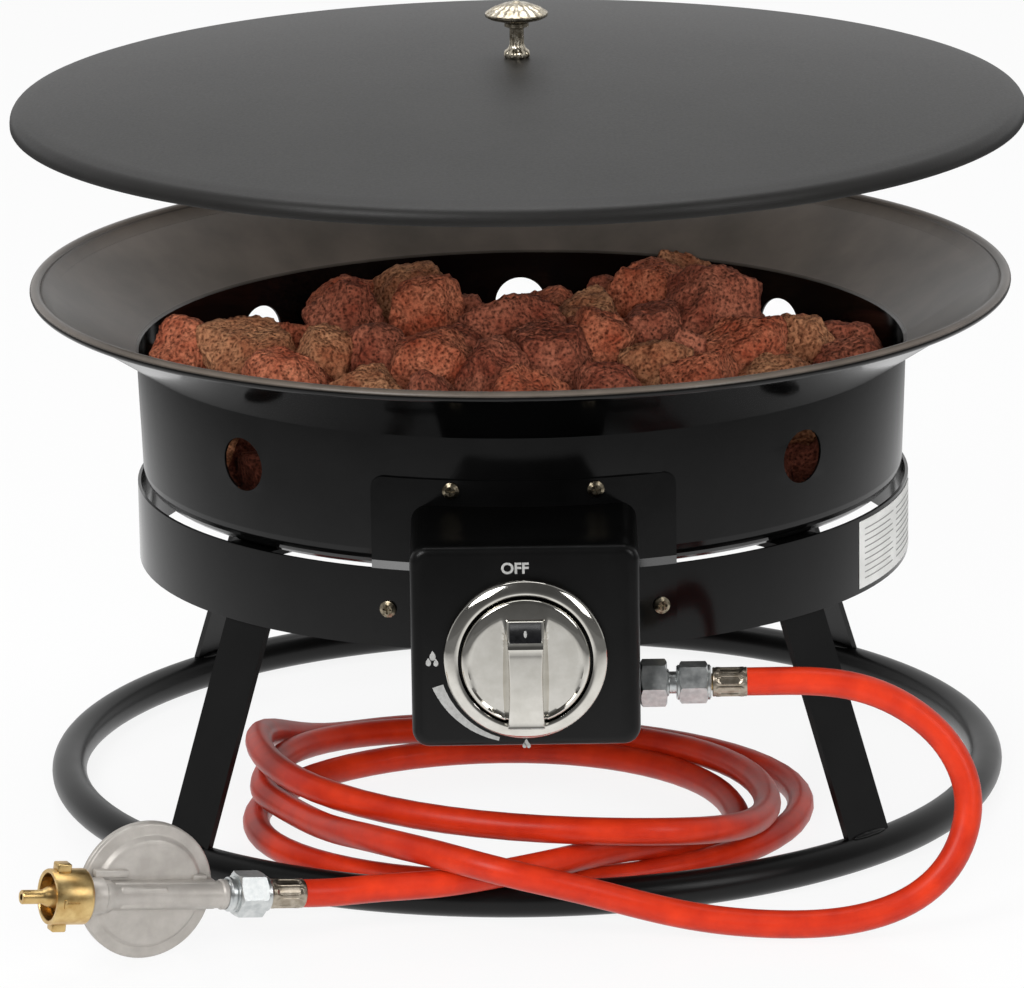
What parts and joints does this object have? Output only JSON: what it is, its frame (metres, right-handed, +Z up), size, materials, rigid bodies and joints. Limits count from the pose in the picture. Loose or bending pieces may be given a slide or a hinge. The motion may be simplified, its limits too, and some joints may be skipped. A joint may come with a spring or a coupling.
{
  "type": "tabletop gas fire pit",
  "caption": "Round tabletop gas fire pit: black bowl of lava rocks on a ring stand, front control knob, coiled gas hose with regulator, and a lift-off lid.",
  "frame": {"origin": "on the bowl's axis, at the height that the base ring stands on", "axes": "+Z up along the bowl's axis; -Y is the front, with the control box and its knob; +X is the side of the gas inlet"},
  "size_m": [0.4969, 0.5699, 0.3935],
  "materials": {
    "black_powder_coat": "satin black powder coat",
    "black_enamel": "glossy black enamel",
    "lid_powder_coat": "fine satin black powder coat",
    "antique_pewter": "antique pewter plate",
    "knob_chrome": "polished chrome",
    "window_black": "glossy black insert",
    "zinc_plate": "bright zinc plate",
    "spring_steel": "plain steel",
    "burner_steel": "dull heat-tinted steel",
    "brass": "turned brass",
    "die_cast_alloy": "satin die-cast alloy",
    "ferrule_steel": "crimped plated steel",
    "red_hose_rubber": "smooth satin red-orange rubber",
    "black_rubber": "plain black rubber",
    "label_white": "plain white label stock",
    "lava_red": "porous red lava rock",
    "lava_tan": "porous tan lava rock",
    "lava_dark": "porous dark lava rock"
  },
  "bodies": {
    "root": {"base_ring": "black_powder_coat", "leg_front_left": "black_powder_coat", "leg_front_right": "black_powder_coat", "leg_back_left": "black_powder_coat", "leg_back_right": "black_powder_coat", "support_band": "black_enamel", "leg_screws": "zinc_plate", "leg_nuts": "zinc_plate", "fire_bowl": "black_enamel", "blank_label": "label_white", "mounting_plate": "black_enamel", "plate_screws": "zinc_plate", "plate_nuts": "zinc_plate", "control_box": "black_powder_coat", "knob_bezel": "knob_chrome", "stem_spring": "spring_steel", "valve_body": "brass", "valve_screws": "zinc_plate", "inlet_adapter": "zinc_plate", "outlet_elbow": "brass", "gas_jet": "brass", "venturi_tube": "burner_steel", "burner_ring": "burner_steel", "burner_supports": "burner_steel", "rocks_red": "lava_red", "rocks_tan": "lava_tan", "rocks_dark": "lava_dark", "rocks_lower": "lava_red", "hose_nut_valve": "zinc_plate", "hose_ferrule_valve": "ferrule_steel", "hose_nipples": "brass", "hose_lead": "red_hose_rubber", "hose_coil": "red_hose_rubber", "hose_tail": "red_hose_rubber", "hose_ferrule_regulator": "ferrule_steel", "hose_nut_regulator": "zinc_plate", "regulator_body": "die_cast_alloy", "regulator_cover": "die_cast_alloy", "regulator_diaphragm": "black_rubber", "regulator_spring": "spring_steel", "bottle_nozzle": "brass", "nozzle_seal": "black_rubber"},
    "lid": {"lid_shell": "lid_powder_coat", "lid_knob": "antique_pewter", "lid_screw": "zinc_plate", "lid_washer": "zinc_plate"},
    "knob_push": {"stem_collar": "spring_steel"},
    "knob": {"control_knob": "knob_chrome", "knob_window": "window_black", "valve_stem": "brass"},
    "union": {"union_nut": "brass"}
  },
  "joints": [
    {"name": "lid_lift", "type": "slide", "parent": "root", "child": "lid", "axis": [0, 0, 1], "range_m": [-0.0875, 0.1]},
    {"name": "push_in", "type": "slide", "parent": "root", "child": "knob_push", "axis": [0, 1, 0], "range_m": [0, 0.003], "stiffness_N_per_m": 800, "springref_m": -0.004, "deforming": ["stem_spring"]},
    {"name": "knob_turn", "type": "hinge", "parent": "knob_push", "child": "knob", "pos_m": [0, -0.26, 0.1363], "axis": [0, -1, 0], "range_deg": [0, 180]},
    {"name": "union_spin", "type": "hinge", "parent": "root", "child": "union", "pos_m": [-0.2119, -0.30538, 0.03842], "axis": [-0.8975, -0.4185, 0.1392], "continuous": true}
  ]
}
